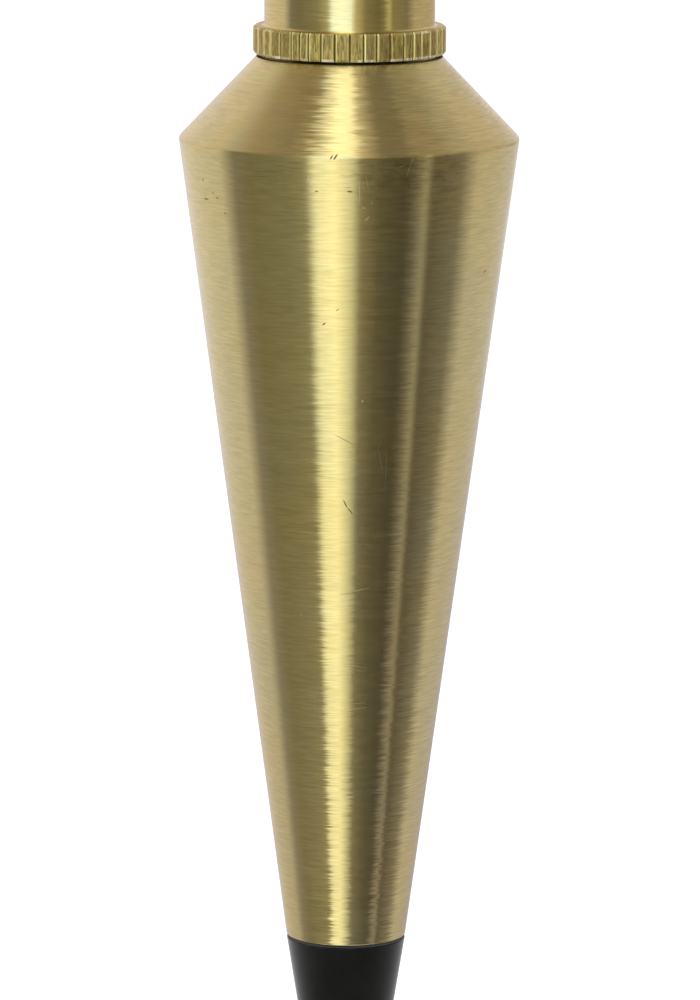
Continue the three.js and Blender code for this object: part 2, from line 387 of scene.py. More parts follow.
# Nicks and scratches on the body: bearing from +X in degrees, height, length and width
# in mm, and slant from level in degrees
DARK_MARKS = [
    (-94.50, 124.26, 0.66, 0.19, 54), (-95.85, 124.22, 0.52, 0.14, 59),
    (-150.61, 120.69, 0.34, 0.16, 76), (-149.92, 118.70, 0.98, 0.13, 1),
    (-144.83, 119.50, 0.32, 0.13, 106), (-142.53, 119.04, 0.32, 0.12, 145),
    (-139.02, 117.53, 0.30, 0.12, 154), (-108.23, 123.46, 1.98, 0.06, 5),
    (-107.93, 122.97, 1.52, 0.07, 0), (-118.99, 122.43, 3.94, 0.05, 2),
    (-122.63, 121.86, 3.37, 0.05, 3), (-101.06, 120.61, 0.40, 0.12, 179),
    (-89.73, 120.63, 0.58, 0.15, 176), (-90.17, 121.09, 0.93, 0.06, 4),
    (-28.22, 111.07, 0.68, 0.12, 26), (-99.36, 106.52, 0.37, 0.16, 37),
    (-94.14, 108.05, 0.38, 0.10, 35), (-91.18, 94.06, 2.65, 0.08, 152),
    (-91.09, 87.16, 0.96, 0.13, 115), (-88.76, 86.37, 0.98, 0.12, 132),
    (-90.66, 77.37, 1.28, 0.07, 9), (-76.62, 84.07, 0.47, 0.12, 129),
    (-16.01, 127.81, 1.66, 0.07, 132), (-40.0, 124.40, 3.0, 0.035, 180),
    (-30.5, 124.41, 3.4, 0.04, 180), (-20.0, 124.37, 3.0, 0.035, 179),
    (71.0, 124.2, 0.6, 0.15, 120), (128.0, 111.0, 0.5, 0.16, 15),
    (15.0, 121.5, 0.45, 0.14, 95), (84.0, 57.0, 0.5, 0.12, 60),
]
PALE_MARKS = [
    (-103.67, 121.99, 0.30, 0.13, 137), (-102.85, 121.36, 0.23, 0.12, 116),
    (-98.73, 121.29, 0.19, 0.12, 155), (-86.44, 120.48, 2.78, 0.07, 92),
    (-83.89, 121.54, 1.52, 0.06, 101), (-84.93, 118.90, 0.30, 0.14, 155),
    (-82.14, 119.44, 0.28, 0.13, 113), (-83.61, 117.77, 0.60, 0.13, 44),
    (-68.64, 123.84, 0.65, 0.12, 69), (-69.67, 122.89, 1.36, 0.10, 74),
    (-72.70, 123.15, 0.57, 0.08, 20), (-75.76, 92.15, 3.25, 0.05, 102),
    (-72.76, 90.55, 4.37, 0.05, 90), (-84.06, 98.26, 0.30, 0.16, 111),
    (-84.72, 77.73, 2.47, 0.09, 11), (-103.32, 71.88, 0.99, 0.10, 155),
    (-84.24, 69.36, 2.16, 0.06, 170), (-83.63, 68.92, 1.71, 0.05, 175),
    (-83.03, 65.29, 1.77, 0.06, 4), (-82.83, 64.74, 2.03, 0.07, 7),
    (-115.40, 74.79, 0.40, 0.17, 103), (38.0, 101.0, 3.4, 0.07, 24),
    (41.0, 98.5, 2.2, 0.06, 31), (102.0, 84.0, 2.9, 0.06, 165),
    (155.0, 66.0, 2.0, 0.07, 12), (2.0, 76.0, 1.8, 0.06, 170),
]
MARK_DEPTH = 1.5        # half-depth of a mark's ellipsoid, mm
MARK_SOFTNESS = 0.45    # width of its faded edge, as a share of its size


class Brass(Nodes):
    """What all the brass shares. seed shifts the noise so that pieces differ."""

    def __init__(self, name, seed=0.0):
        super().__init__(bpy.data.materials.new(name))
        self.place = self.position()
        self.noise_place = self.place
        if seed:
            shift = (seed, seed * 1.7, seed * 0.6)
            self.noise_place = self.vector("ADD", self.place, shift)
        self.axes = self.split(self.noise_place)
        self.mid = self.sub(self.grain(self.axes, across=0.2, along=1.6, detail=2.0, rough=0.55), 0.5)
        self.spot = self.cloud(self.noise_place, (1.7, 1.7, 1.7), detail=3.0)
        self.tangent = self.new("ShaderNodeTangent", direction_type="RADIAL", axis="Z").outputs[0]

    def leaning_normal(self, lean):
        """The surface normal, leaned round the axis."""
        normal = self.new("ShaderNodeNewGeometry").outputs["Normal"]
        leaned = self.vector("ADD", normal, self.scale(self.tangent, lean))
        return self.vector("NORMALIZE", leaned)

    def uneven(self, rough):
        """A roughness, varied a little from place to place."""
        spots = self.mul(self.sub(self.spot, 0.5), 0.05)
        return self.add(rough, self.add(self.mul(self.mid, 0.03), spots))

    def finish_brass(self, inputs):
        return self.finish("ShaderNodeBsdfPrincipled", {"Tangent": self.tangent, **inputs})


class TurnedBrass(Brass):
    """Brass with turning marks: long round the axis, very fine along it."""

    def __init__(self, name, seed=0.0):
        super().__init__(name, seed)
        self.fine = self.grain(self.axes, across=0.4, along=6.2, detail=1.5, rough=0.5)
        self.streak = self.grain(self.axes, across=0.6, along=4.2, detail=1.0, rough=0.5)
        self.fine_swing = self.sub(self.fine, 0.5)
        self.streak_swing = self.sub(self.streak, 0.5)
        self.px, self.py, self.pz = self.split(self.place)
        squares = self.add(self.math("POWER", self.px, 2.0), self.math("POWER", self.py, 2.0))
        self.radial = self.math("SQRT", squares)

    def turned_normal(self, strength):
        """Each turned ring catches the light at a slightly different place."""
        broad = self.add(self.mul(self.mid, 0.003), self.mul(self.streak_swing, 0.02))
        lean = self.mul(self.add(self.mul(self.fine_swing, 0.17), broad), strength)
        height = self.add(self.fine, self.mul(self.streak, 0.6))
        return self.bump(height, 0.35, 0.000012, self.leaning_normal(lean))

    def bare_colour(self):
        """Bare brass, a little duller and browner in patches."""
        cloud = self.cloud(self.noise_place, (0.16, 0.16, 0.07), detail=4.0)
        base = self.mix(self.fade(cloud, start=0.35, end=0.68), BRASS, BRASS_WARM)
        dull = self.mul(self.fade(cloud, start=0.55, end=0.30), 0.35)
        return self.mix(dull, base, BRASS_DULL)

    def gap(self, level, width):
        """Painted shade in the gap under the ring: level picks its height, width how far in it goes.
        """
        inward = self.fade(self.radial, start=BODY_TOP_R - width, end=BODY_TOP_R - 0.45)
        return self.mul(level, inward)

    def gap_shaded_and_toned(self, base, gap):
        """The colour with painted shade in the gap, and the turning marks' tone over all of it."""
        base = self.mix(self.mul(gap, 0.98), base, GAP_PAINTED_SHADE)
        rings = self.add(self.mul(self.fine_swing, 0.42), self.mul(self.streak_swing, 0.16))
        tone = self.add(self.add(1.0, self.mul(self.mid, 0.15)), rings)
        return self.scale(base, tone)

    def gap_rough(self, rough, gap):
        return self.add(self.uneven(rough), self.mul(gap, 0.6))

    def finish_turned(self, base, rough, gap, normal, extra=None):
        return self.finish_brass({
            "Base Color": base,
            # the painted shade in the gap is made non-metal so that it stays dark
            "Metallic": self.sub(1.0, gap),
            "Roughness": rough,
            "Specular IOR Level": 0.0,
            "Anisotropic": 1.0,
            "Anisotropic Rotation": 0.25,
            "Normal": normal,
            **(extra or {}),
        })


def surface_radius(z):
    """The body's outside radius at a height."""
    if z > SHOULDER_Z:
        slope = (BODY_R - BODY_TOP_R) / (BODY_TOP_Z - SHOULDER_Z)
        return BODY_R - (z - SHOULDER_Z) * slope
    return BODY_R - (SHOULDER_Z - z) * (BODY_R - BODY_LOW_R) / (SHOULDER_Z - BODY_LOW_Z)


def mark_cover(g, marks):
    """1 on the marks, 0 away from them; narrow marks are fainter."""
    cover = None
    for bearing, z, length, width, slant in marks:
        angle, slant = math.radians(bearing), math.radians(slant)
        r = surface_radius(z)
        level = Vector((-math.sin(angle), math.cos(angle), 0))
        up = Vector((0, 0, 1))
        long_axis = level * math.cos(slant) + up * math.sin(slant)
        short_axis = up * math.cos(slant) - level * math.sin(slant)
        turned = Matrix((long_axis, short_axis, long_axis.cross(short_axis))).transposed()
        node = g.new("ShaderNodeMapping", vector_type="TEXTURE")
        g.put(node.inputs["Vector"], g.place)
        g.put(node.inputs["Location"], (r * math.cos(angle), r * math.sin(angle), z))
        g.put(node.inputs["Rotation"], turned.to_euler())
        g.put(node.inputs["Scale"], (length / 2, width / 2, MARK_DEPTH))
        away = g.vector("LENGTH", node.outputs[0], output="Value")
        mark = g.fade(away, start=1.0 + MARK_SOFTNESS, end=1.0 - MARK_SOFTNESS)
        mark = g.mul(mark, min(1.0, 0.2 + 6.5 * width))
        cover = mark if cover is None else g.max(cover, mark)
    return cover


def body_brass():
    g = TurnedBrass("brass_turned")
    z = g.axes[2]
    # smooth cuts under the shoulder crease, coarser ones towards the tip and above it
    low = g.fade(z, start=SHOULDER_Z, end=BODY_LOW_Z, kind="LINEAR")
    coarse = g.add(0.14, g.mul(g.mul(low, low), 1.25))
    above = g.fade(z, start=SHOULDER_Z - 0.2, end=SHOULDER_Z + 0.4, high=0.62)
    normal = g.turned_normal(g.add(coarse, above))
    # painted shade in the gap at the body's seat, under the ring
    gap = g.gap(g.fade(g.pz, start=BODY_TOP_Z - 0.02, end=BODY_TOP_Z), width=0.8)

    # handling marks: a broken, duller band under the shoulder crease, strongest on the
    # side that faces the camera and a little to +X
    smear = g.cloud(g.place, (0.55, 0.55, 1.9), detail=4.0)
    toward = g.math("DIVIDE", g.sub(g.mul(g.px, 0.34), g.mul(g.py, 0.94)), g.radial)
    amount = g.fade(toward, start=0.90, end=0.985, low=0.10, high=0.42)
    band = g.mul(
        g.fade(g.pz, start=SHOULDER_Z - 9.0, end=SHOULDER_Z - 2.0),
        g.fade(g.pz, start=SHOULDER_Z + 0.1, end=SHOULDER_Z - 0.2))
    broken = g.mul(band, g.fade(smear, start=0.44, end=0.66))
    base = g.gap_shaded_and_toned(g.mix(g.mul(broken, amount), g.bare_colour(), HANDLED), gap)
    rough = g.add(g.gap_rough(0.22, gap), g.mul(g.mul(low, low), 0.02))

    # marks, their colour, how far they take it on, and the roughness they add
    for marks, colour, cover, rougher in (
            (DARK_MARKS, DARK_MARK, 0.82, 0.2), (PALE_MARKS, PALE_MARK, 0.5, 0.12)):
        marked = mark_cover(g, marks)
        base = g.mix(g.mul(marked, cover), base, colour)
        rough = g.add(rough, g.mul(marked, rougher))
    return g.finish_turned(base, rough, gap, normal)


def cap_brass():
    g = TurnedBrass("brass_cap", seed=7.3)
    # painted shade on the ring's underside, over the gap
    underside = g.mul(
        g.fade(g.pz, start=RING_LOW_Z - 0.03, end=RING_LOW_Z - 0.01),
        g.fade(g.pz, start=RING_LOW_Z + 0.012, end=RING_LOW_Z))
    gap = g.gap(underside, width=1.1)
    # the ring's upper face, outside the neck
    shelf = g.mul(
        g.fade(g.radial, start=NECK_R + 0.15, end=NECK_R + 0.35),
        g.fade(g.pz, start=RING_TOP_Z - 0.4, end=RING_TOP_Z - 0.1))
    tint = g.mix(shelf, (1, 1, 1, 1), SHELF_TINT)
    base = g.gap_shaded_and_toned(g.bare_colour(), gap)
    normal = g.turned_normal(0.3)
    return g.finish_turned(base, g.gap_rough(0.18, gap), gap, normal, {"Specular Tint": tint})


def knurl_brass():
    """Pressed knurl lands: short scores along the axis, dull faces, rubbed flanks with painted
    highlights, painted shade in the grooves and painted glints on the rubbed edges.
    """
    g = Brass("brass_knurl", seed=3.1)
    rub_and_highlight, deep, edge_rub_and_glint, shade = (g.attribute(name) for name in ("rub_and_highlight", "deep", "edge_rub_and_glint", "shade"))
    scores = g.grain(g.axes, across=5.0, along=0.7, detail=4.0, rough=0.68)
    normal = g.bump(
        g.add(scores, g.mul(g.spot, 0.9)), strength=0.6, distance=0.00003,
        normal=g.leaning_normal(g.mul(g.sub(scores, 0.5), 0.9)))
    plain = g.fade(scores, start=0.38, end=0.62, kind="LINEAR")
    base = g.mix(plain, LAND_SCORED, g.mix(shade, LAND_DULL, LAND_BRIGHT))
    # rubbed flanks, with a painted highlight
    base = g.mix(rub_and_highlight, base, FLANK_RUB_AND_HIGHLIGHT)
    # rubbed edges, with painted glints
    base = g.mix(edge_rub_and_glint, base, EDGE_RUB_AND_GLINT)
    # painted shade in the groove bottoms
    base = g.mix(g.mul(deep, 0.85), base, GROOVE_SHADE)
    tone = g.add(0.86, g.mul(g.spot, 0.28))
    return g.finish_brass({
        "Base Color": g.scale(base, tone),
        # the painted glints and highlights are partly non-metal, so they stay pale from any side
        "Metallic": g.sub(1.0, g.max(g.mul(edge_rub_and_glint, 0.55), g.mul(rub_and_highlight, 0.38))),
        "Roughness": g.uneven(g.sub(0.63, g.mul(rub_and_highlight, 0.24))),
        "Anisotropic": 0.0,
        "Anisotropic Rotation": 0.0,
        "Normal": normal,
    })


# -------------------------------------------------------------- steel and cord
OXIDE_DARK = (0.0035, 0.0040, 0.0025, 1)
OXIDE_PALE = (0.0060, 0.0065, 0.0045, 1)
BARE_STEEL = (0.30, 0.29, 0.27, 1)
CORD_CLEAN = (0.80, 0.78, 0.70, 1)
CORD_SOILED = (0.70, 0.66, 0.56, 1)
CORD_BLUE = (0.10, 0.16, 0.36, 1)
CORD_SHADOW = (0.22, 0.20, 0.16, 1)
CORD_MELTED = (0.30, 0.24, 0.16, 1)


def steel():
    g = new_nodes("black_oxide_steel")
    place = g.position()
    axes = g.split(place)
    z = axes[2]
    turning = g.grain(axes, across=0.4, along=6.0, detail=3.0, rough=0.6)
    patch = g.cloud(place, (0.35, 0.35, 0.2), detail=5.0, rough=0.62)
    grit = g.cloud(place, (9.0, 9.0, 9.0), detail=3.0)
    base = g.mix(g.fade(patch, start=0.35, end=0.7), OXIDE_DARK, OXIDE_PALE)
    # the oxide is rubbed thin right at the point and along the edge of the shoulder
    point = g.mul(g.fade(z, start=1.6, end=0.2), g.fade(grit, start=0.35, end=0.6))
    rim = g.mul(
        g.fade(z, start=TIP_TOP_Z - 0.22, end=TIP_TOP_Z - 0.05),
        g.fade(z, start=TIP_TOP_Z + 0.05, end=TIP_TOP_Z + 0.01))
    rim = g.mul(rim, g.fade(patch, start=0.45, end=0.65))
    worn = g.max(point, g.mul(rim, 0.05))
    base = g.mix(worn, base, BARE_STEEL)
    return g.finish("ShaderNodeBsdfPrincipled", {
        "Base Color": g.scale(base, g.add(0.85, g.mul(turning, 0.3))),
        "Metallic": g.mul(worn, 0.9),
        "Roughness": g.add(0.46, g.mul(g.sub(patch, 0.5), 0.2)),
        "Specular IOR Level": 0.04,
        "Sheen Weight": 0.50,
        "Sheen Roughness": 0.40,
        "Normal": g.bump(g.add(turning, g.mul(grit, 0.7)), strength=0.4, distance=0.00002),
    })


def cord():
    g = new_nodes("braided_nylon")
    place = g.position()
    fibre = g.cloud(place, (14.0, 14.0, 5.0), detail=3.0)
    soil = g.cloud(place, (0.5, 0.5, 0.12), detail=3.0)
    # height in the braid, the one coloured yarn, and the heat-sealed ends
    crown, fleck, melt = (g.attribute(name) for name in ("crown", "fleck", "melt"))
    base = g.mix(g.fade(soil, start=0.4, end=0.75), CORD_CLEAN, CORD_SOILED)
    base = g.mix(fleck, base, CORD_BLUE)
    base = g.mix(g.mul(g.fade(crown, start=0.55, end=0.0), 0.75), base, CORD_SHADOW)
    base = g.mix(g.mul(melt, 0.85), base, CORD_MELTED)
    return g.finish("ShaderNodeBsdfPrincipled", {
        "Base Color": g.scale(base, g.add(0.86, g.mul(fibre, 0.28))),
        "Roughness": g.sub(0.62, g.mul(melt, 0.3)),
        "Sheen Weight": 0.25,
        "Normal": g.bump(fibre, strength=0.5, distance=0.00004),
    })


# ------------------------------------------------------------------ brass body
def build_body(mat):
    # from the top of the tip's bore, down it, up the outside and into the socket's mouth
    outer = rounded([
        (0, 50.5), (3.32, 48.7, 0.1, 3),
        (3.32, BODY_LOW_Z + 0.45, 0.08, 3), (3.77, BODY_LOW_Z, 0.05, 3),
        (BODY_LOW_R - 0.01, BODY_LOW_Z, 0.17, 8), (BODY_R, SHOULDER_Z, 0.55, 10),
        (BODY_TOP_R, BODY_TOP_Z, 0.06, 5), (7.85, BODY_TOP_Z, 0.08, 4),
        (7.45, BODY_TOP_Z - 0.4, 0.08, 3), (7.45, BODY_TOP_Z - 0.7, 0.1, 3),
        (SOCKET_MINOR_R, BODY_TOP_Z - 1.1),
    ])
    first_socket_row = len(outer) - 1
    profile = outer[:-1] + wall(SOCKET_MINOR_R, BODY_TOP_Z - 1.1, SOCKET_LOW_Z + 0.2, 0.1)
    profile += [np.array([SOCKET_MINOR_R - 0.2, SOCKET_LOW_Z]), np.array([0, SOCKET_LOW_Z - 1.2])]

    def shape(r, z, row, bearings):
        if row < first_socket_row or abs(r - SOCKET_MINOR_R) >= 1e-6:
            return r
        cut = thread(z, bearings, HELIX_Z0, CAP_PITCH, SOCKET_CREST,
                     SOCKET_MAJOR_R - SOCKET_MINOR_R)
        return r + cut * ease((z - SOCKET_THREAD_Z) / 0.8)

    parts = revolve(profile, even_bearings(288), shape)
    body = make_object("bob_body", *parts, [mat], sharp=CREASE_ANGLE)
    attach(body, "bob")
    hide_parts("brass_body")


# ------------------------------------------------------------------- steel tip
def build_tip(mat):
    cone = rounded([
        (0, 0), (0.16, 0.0, 0.1, 4), (0.30, 0.55, 0.8, 5), (TIP_TOP_R, TIP_TOP_Z, 0.13, 6),
        (2.3, TIP_TOP_Z, 0.15, 4), (2.3, TIP_TOP_Z + 0.9, 0.1, 3),
        (STUD_MINOR_R, TIP_TOP_Z + 1.1),
    ])
    stud = wall(STUD_MINOR_R, TIP_TOP_Z + 1.1, STUD_TOP_Z - 0.5, 0.075)
    stud_end = [np.array(point) for point in (
        (STUD_MINOR_R - 0.14, STUD_TOP_Z - 0.3), (STUD_MINOR_R - 0.42, STUD_TOP_Z - 0.05),
        (STUD_MINOR_R - 0.55, STUD_TOP_Z), (0, STUD_TOP_Z))]
    first_row = len(cone) - 1
    last_row = first_row + len(stud) - 1

    def shape(r, z, row, bearings):
        if not first_row <= row <= last_row:
            return r
        fade = ease((z - (TIP_TOP_Z + 1.15)) / 0.5) * ease((STUD_TOP_Z - 0.35 - z) / 0.6)
        ridge = thread(z, bearings, TIP_TOP_Z + 1.5, STUD_PITCH, STUD_CREST,
                       STUD_MAJOR_R - STUD_MINOR_R)
        return r + ridge * fade

    parts = revolve(cone[:-1] + stud + stud_end, even_bearings(192), shape)
    tip = make_object("steel_point", *parts, [mat], sharp=CREASE_ANGLE)
    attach(tip, "tip")
    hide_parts("steel_tip")


# ------------------------------------------------------------------- screw cap
# The knurl was pressed a tooth at a time, so its grooves are not quite evenly spaced.
# Bearings from -Y of the grooves on that side, in degrees; the rest fill in behind.
FRONT_GROOVES = [
    -80.0, -71.2, -62.8, -54.6, -45.6, -37.2, -31.2, -25.3, -17.4, -8.9, 0.1,
    8.2, 16.2, 24.9, 33.9, 41.0, 47.4, 55.7, 64.2, 72.7, 81.2,
]
GROOVE_DEPTH = 0.21
# Half a groove, from its middle out: distance in mm, share of the full depth, how much
# it is rubbed and given a painted highlight, and how much painted shade it gets
GROOVE = [
    (0.0, 1.0, 0.0, 1.0), (0.06, 0.88, 0.1, 0.75), (0.095, 0.50, 0.9, 0.15),
    (0.13, 0.15, 1.0, 0.0), (0.16, 0.02, 1.0, 0.0), (0.24, 0.0, 0.95, 0.0),
    (0.285, 0.0, 0.1, 0.0),
]
LANDS = [0.36, 0.5, 0.64]   # points on a tooth's face, as shares of the way across it


def knurl_columns(rng):
    """Bearing, drop below the ring's radius, rub with painted highlight, and painted groove shade of
    each column round the cap.
    """
    rear = 360.0 - (FRONT_GROOVES[-1] - FRONT_GROOVES[0])
    rear_count = KNURLS - len(FRONT_GROOVES)
    rear_grooves = [
        FRONT_GROOVES[-1] + rear * (k + 1) / (rear_count + 1) + rng.normal(0, 0.4)
        for k in range(rear_count)]
    grooves = np.radians(np.array(FRONT_GROOVES + rear_grooves) - 90.0)
    depth = GROOVE_DEPTH * (1 + rng.normal(0, 0.10, KNURLS))
    # rub and painted highlight on the flanks that end and start a tooth, and the slope of its face
    rub_and_highlight_end = np.clip(0.62 + rng.normal(0, 0.34, KNURLS), 0.08, 1)
    rub_and_highlight_start = np.clip(0.74 + rng.normal(0, 0.32, KNURLS), 0.1, 1)
    slope = rng.normal(0, 0.012, KNURLS)
    columns = []
    for k in range(KNURLS):
        after = (k + 1) % KNURLS
        start = grooves[k]
        end = grooves[after] + (TAU if k == KNURLS - 1 else 0)
        for away, share, rub_and_highlight, groove_shade in GROOVE:
            columns.append((start + away / RING_R, depth[k] * share, rub_and_highlight * rub_and_highlight_start[k], groove_shade))
        for c in LANDS:
            drop = -slope[k] * (c - 0.5) * 2 - 0.004 * (1 - abs(c - 0.5) * 2)
            columns.append((start + (end - start) * c, drop, 0.0, 0.0))
        for away, share, rub_and_highlight, groove_shade in GROOVE[:0:-1]:
            rub_and_highlight = rub_and_highlight * rub_and_highlight_end[after] * (1.0 if share > 0.1 else 0.35)
            columns.append((end - away / RING_R, depth[after] * share, rub_and_highlight, groove_shade))
    return np.array(columns).T


def cap_profile():
    """A closed outline: up the stub, ring and dome, and down the hole and cavity."""
    foot = rounded([
        (CAVITY_R + 0.3, STUB_LOW_Z), (CAP_MINOR_R - 0.35, STUB_LOW_Z, 0.06, 3),
        (CAP_MINOR_R, STUB_LOW_Z + 0.35)])
    stub = wall(CAP_MINOR_R, STUB_LOW_Z + 0.35, RING_LOW_Z - 1.2, 0.125)
    top = rounded([
        (CAP_MINOR_R, RING_LOW_Z - 1.2), (CAP_MINOR_R, RING_LOW_Z, 0.15, 3),
        (RING_R - 0.20, RING_LOW_Z, 0.10, 4), (RING_R, RING_LOW_Z + 0.27, 0.16, 5),
        (RING_R, RING_TOP_Z - 0.22, 0.08, 3), (RING_R - 0.24, RING_TOP_Z, 0.08, 4),
        (NECK_R, RING_TOP_Z, 0.30, 6), (NECK_R, CAP_TOP_Z, 3.1, 18),
        (LINE_SINK_R, CAP_TOP_Z, 0.25, 4), (LINE_HOLE_R, CAP_TOP_Z - 0.8, 0.25, 4),
        (LINE_HOLE_R, CAVITY_TOP_Z, 0.15, 3), (CAVITY_R, CAVITY_TOP_Z, 0.4, 5),
        (CAVITY_R, STUB_LOW_Z + 0.3, 0.06, 3), (CAVITY_R + 0.3, STUB_LOW_Z)])
    outline = foot[:-1] + stub[:-1] + top[:-1]
    # extra rows up the ring so that its lands are well shaped
    full = []
    for a, b in zip(outline, outline[1:]):
        full.append(a)
        if a[0] > 10.1 and b[0] > 10.1 and b[1] - a[1] > 1:
            full += [a + (b - a) * k for k in (0.25, 0.5, 0.75)]
    full.append(outline[-1])
    return full


def on_ring(z):
    return (z > RING_LOW_Z - 0.01) & (z < RING_TOP_Z + 0.01)


def build_cap(mats):
    rng = np.random.default_rng(11)
    bearings, drop, rub_and_highlight, groove_shade = knurl_columns(rng)
    profile = cap_profile()

    def shape(r, z, row, bearings):
        if abs(r - CAP_MINOR_R) < 1e-6 and STUB_LOW_Z + 0.3 < z < RING_LOW_Z - 1.1:
            fade = ease((z - STUB_LOW_Z - 0.3) / 0.7) * ease((RING_LOW_Z - 1.25 - z) / 0.7)
            ridge = thread(z, bearings, HELIX_Z0, CAP_PITCH, CAP_CREST,
                           CAP_MAJOR_R - CAP_MINOR_R)
            return r + ridge * fade
        if r > 9.5 and RING_LOW_Z - 0.01 <= z <= RING_TOP_Z + 0.01:
            grooved = np.minimum(r, RING_R - np.maximum(drop, 0))
            return grooved - np.minimum(drop, 0) * (r > RING_R - 0.03)
        return r

    parts = revolve(profile, bearings, shape, closed=True)
    # the knurled faces use the second material
    row_r, row_z = np.array(profile).T
    next_r, next_z = np.roll(row_r, -1), np.roll(row_z, -1)
    knurled = (np.minimum(row_r, next_r) > RING_R - 0.30) & on_ring((row_z + next_z) / 2)
    face_slots = np.repeat(knurled, len(bearings))
    cap = make_object("screw_cap_brass", *parts, mats, face_slots, sharp=CREASE_ANGLE)

    # the ring's edges are rubbed and given painted glints, in short lengths
    per_tooth = len(bearings) // KNURLS
    low_rub_glint = np.repeat(np.clip(rng.normal(0.75, 0.35, KNURLS), 0.1, 1), per_tooth)
    top_rub_glint = np.repeat(np.clip(rng.normal(0.0, 0.35, KNURLS), 0.05, 0.7), per_tooth)
    shade = np.repeat(np.clip(rng.normal(0.5, 0.3, KNURLS), 0, 1), per_tooth)
    patchy = np.random.default_rng(5).normal(0.72, 0.36, len(bearings))
    low_rub_glint = low_rub_glint * np.clip(patchy, 0.12, 1.0)
    top_rub_glint = top_rub_glint * np.clip(patchy[::-1], 0.12, 1.0)
    near_edge = (row_z < RING_LOW_Z + 0.30) | (row_z > RING_TOP_Z - 0.22)
    edge_rows = (row_r > RING_R - 0.26) & near_edge & on_ring(row_z)
    edge_rub_glint = np.where(row_z[:, None] < RING_LOW_Z + 0.5, low_rub_glint, top_rub_glint)
    edge_rub_and_glint = edge_rows[:, None] * edge_rub_glint * (1 - groove_shade)
    rows = len(profile)
    # rubbed flanks with painted highlights, painted shade in the groove bottoms, rubbed edges with
    # painted glints
    add_attribute(cap, "rub_and_highlight", np.tile(rub_and_highlight, rows))
    add_attribute(cap, "deep", np.tile(groove_shade, rows))
    add_attribute(cap, "edge_rub_and_glint", edge_rub_and_glint.ravel())
    add_attribute(cap, "shade", np.tile(shade, rows))
    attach(cap, "cap")
    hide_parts("screw_cap")


# ------------------------------------------------------------------ plumb line
# The line's way from the axis into the knot, and out again below it: bearing in
# degrees, distance from the axis, height above the knot's middle
INTO_KNOT = [(-25, 0.55, 2.9), (-18, 1.7, 2.35), (-2, 2.65, 1.75), (18, 3.0, 1.25)]
OUT_OF_KNOT = [(-18, 3.0, -1.25), (2, 2.65, -1.75), (18, 1.7, -2.35), (25, 0.6, -2.95)]


def knot_point(s):
    """A point on the trefoil at the middle of the knot."""
    r = KNOT_RING_R + KNOT_TURN_R * math.cos(3 * s)
    return r * math.cos(2 * s), r * math.sin(2 * s), KNOT_Z + KNOT_TURN_R * math.sin(3 * s)


def polar(bearing, r, rise):
    angle = math.radians(bearing)
    return r * math.cos(angle), r * math.sin(angle), KNOT_Z + rise


def bspline(points, per_span):
    out = []
    for i in range(1, len(points) - 2):
        for k in range(per_span):
            t = k / per_span
            weights = np.array([
                (1 - t) ** 3, 3 * t ** 3 - 6 * t ** 2 + 4,
                -3 * t ** 3 + 3 * t ** 2 + 3 * t + 1, t ** 3]) / 6
            out.append(weights @ points[i - 1:i + 3])
    out.append((points[-3] + 4 * points[-2] + points[-1]) / 6)
    return np.array(out)


def line_path():
    """Evenly spaced points down the line, and their distance along it."""
    control = [(0, 0, z) for z in np.arange(LINE_TOP_Z + 1.0, KNOT_Z + 4.6, -1.0)]
    control += [(0, 0, KNOT_Z + 4.2), (0, 0, KNOT_Z + 3.5)]
    control += [polar(*place) for place in INTO_KNOT]
    control += [knot_point(s) for s in np.linspace(0.36, TAU - 0.36, 44)]
    control += [polar(*place) for place in OUT_OF_KNOT]
    low_zs = (KNOT_Z - 3.7, KNOT_Z - 4.5, TAIL_LOW_Z + 0.2, TAIL_LOW_Z - 1.2)
    control += [(0, 0, z) for z in low_zs]
    curve = bspline(np.array(control), 24)
    spans = np.linalg.norm(np.diff(curve, axis=0), axis=1)
    distance = np.r_[0, np.cumsum(spans)]
    along = np.linspace(0, distance[-1], int(distance[-1] / RING_STEP) + 1)
    path = np.array([np.interp(along, distance, curve[:, k]) for k in range(3)]).T
    # trim to the ends of the CAD line
    z = path[:, 2]
    above = (along < 20) & (z > LINE_TOP_Z - 0.02)
    on_axis = np.hypot(path[:, 0], path[:, 1]) < 0.2
    below = (along > along[-1] - 4) & (z < TAIL_LOW_Z + 0.02) & on_axis
    keep = ~(above | below)
    return path[keep], along[keep]


def path_frame(path):
    """Two unit vectors across the path at each point, carried along without twist."""
    tangent = np.gradient(path, axis=0)
    tangent /= np.linalg.norm(tangent, axis=1)[:, None]
    side = np.zeros_like(path)
    side[0] = (1, 0, 0)
    for i in range(1, len(path)):
        level = side[i - 1] - tangent[i] * (side[i - 1] @ tangent[i])
        side[i] = level / np.linalg.norm(level)
    return side, np.cross(tangent, side)


def braid(angle, along):
    """How high each point stands in the braid, and whether the coloured yarn is on top."""
    yarn_a = angle * CARRIERS / TAU + along / (2 * PICK)
    yarn_b = angle * CARRIERS / TAU - along / (2 * PICK)
    weave = np.cos(math.pi * (yarn_a + yarn_b)) * 0.5

    def height(yarn, lift):
        off_middle = np.abs(yarn - np.round(yarn)) * 2
        return np.sqrt(np.clip(1 - off_middle ** 2, 0, 1)) * (0.35 + 0.65 * lift ** 0.7)

    height_a, height_b = height(yarn_a, weave + 0.5), height(yarn_b, 0.5 - weave)
    coloured = (np.round(yarn_a).astype(int) % CARRIERS) == 0
    return np.maximum(height_a, height_b), coloured & (height_a >= height_b)


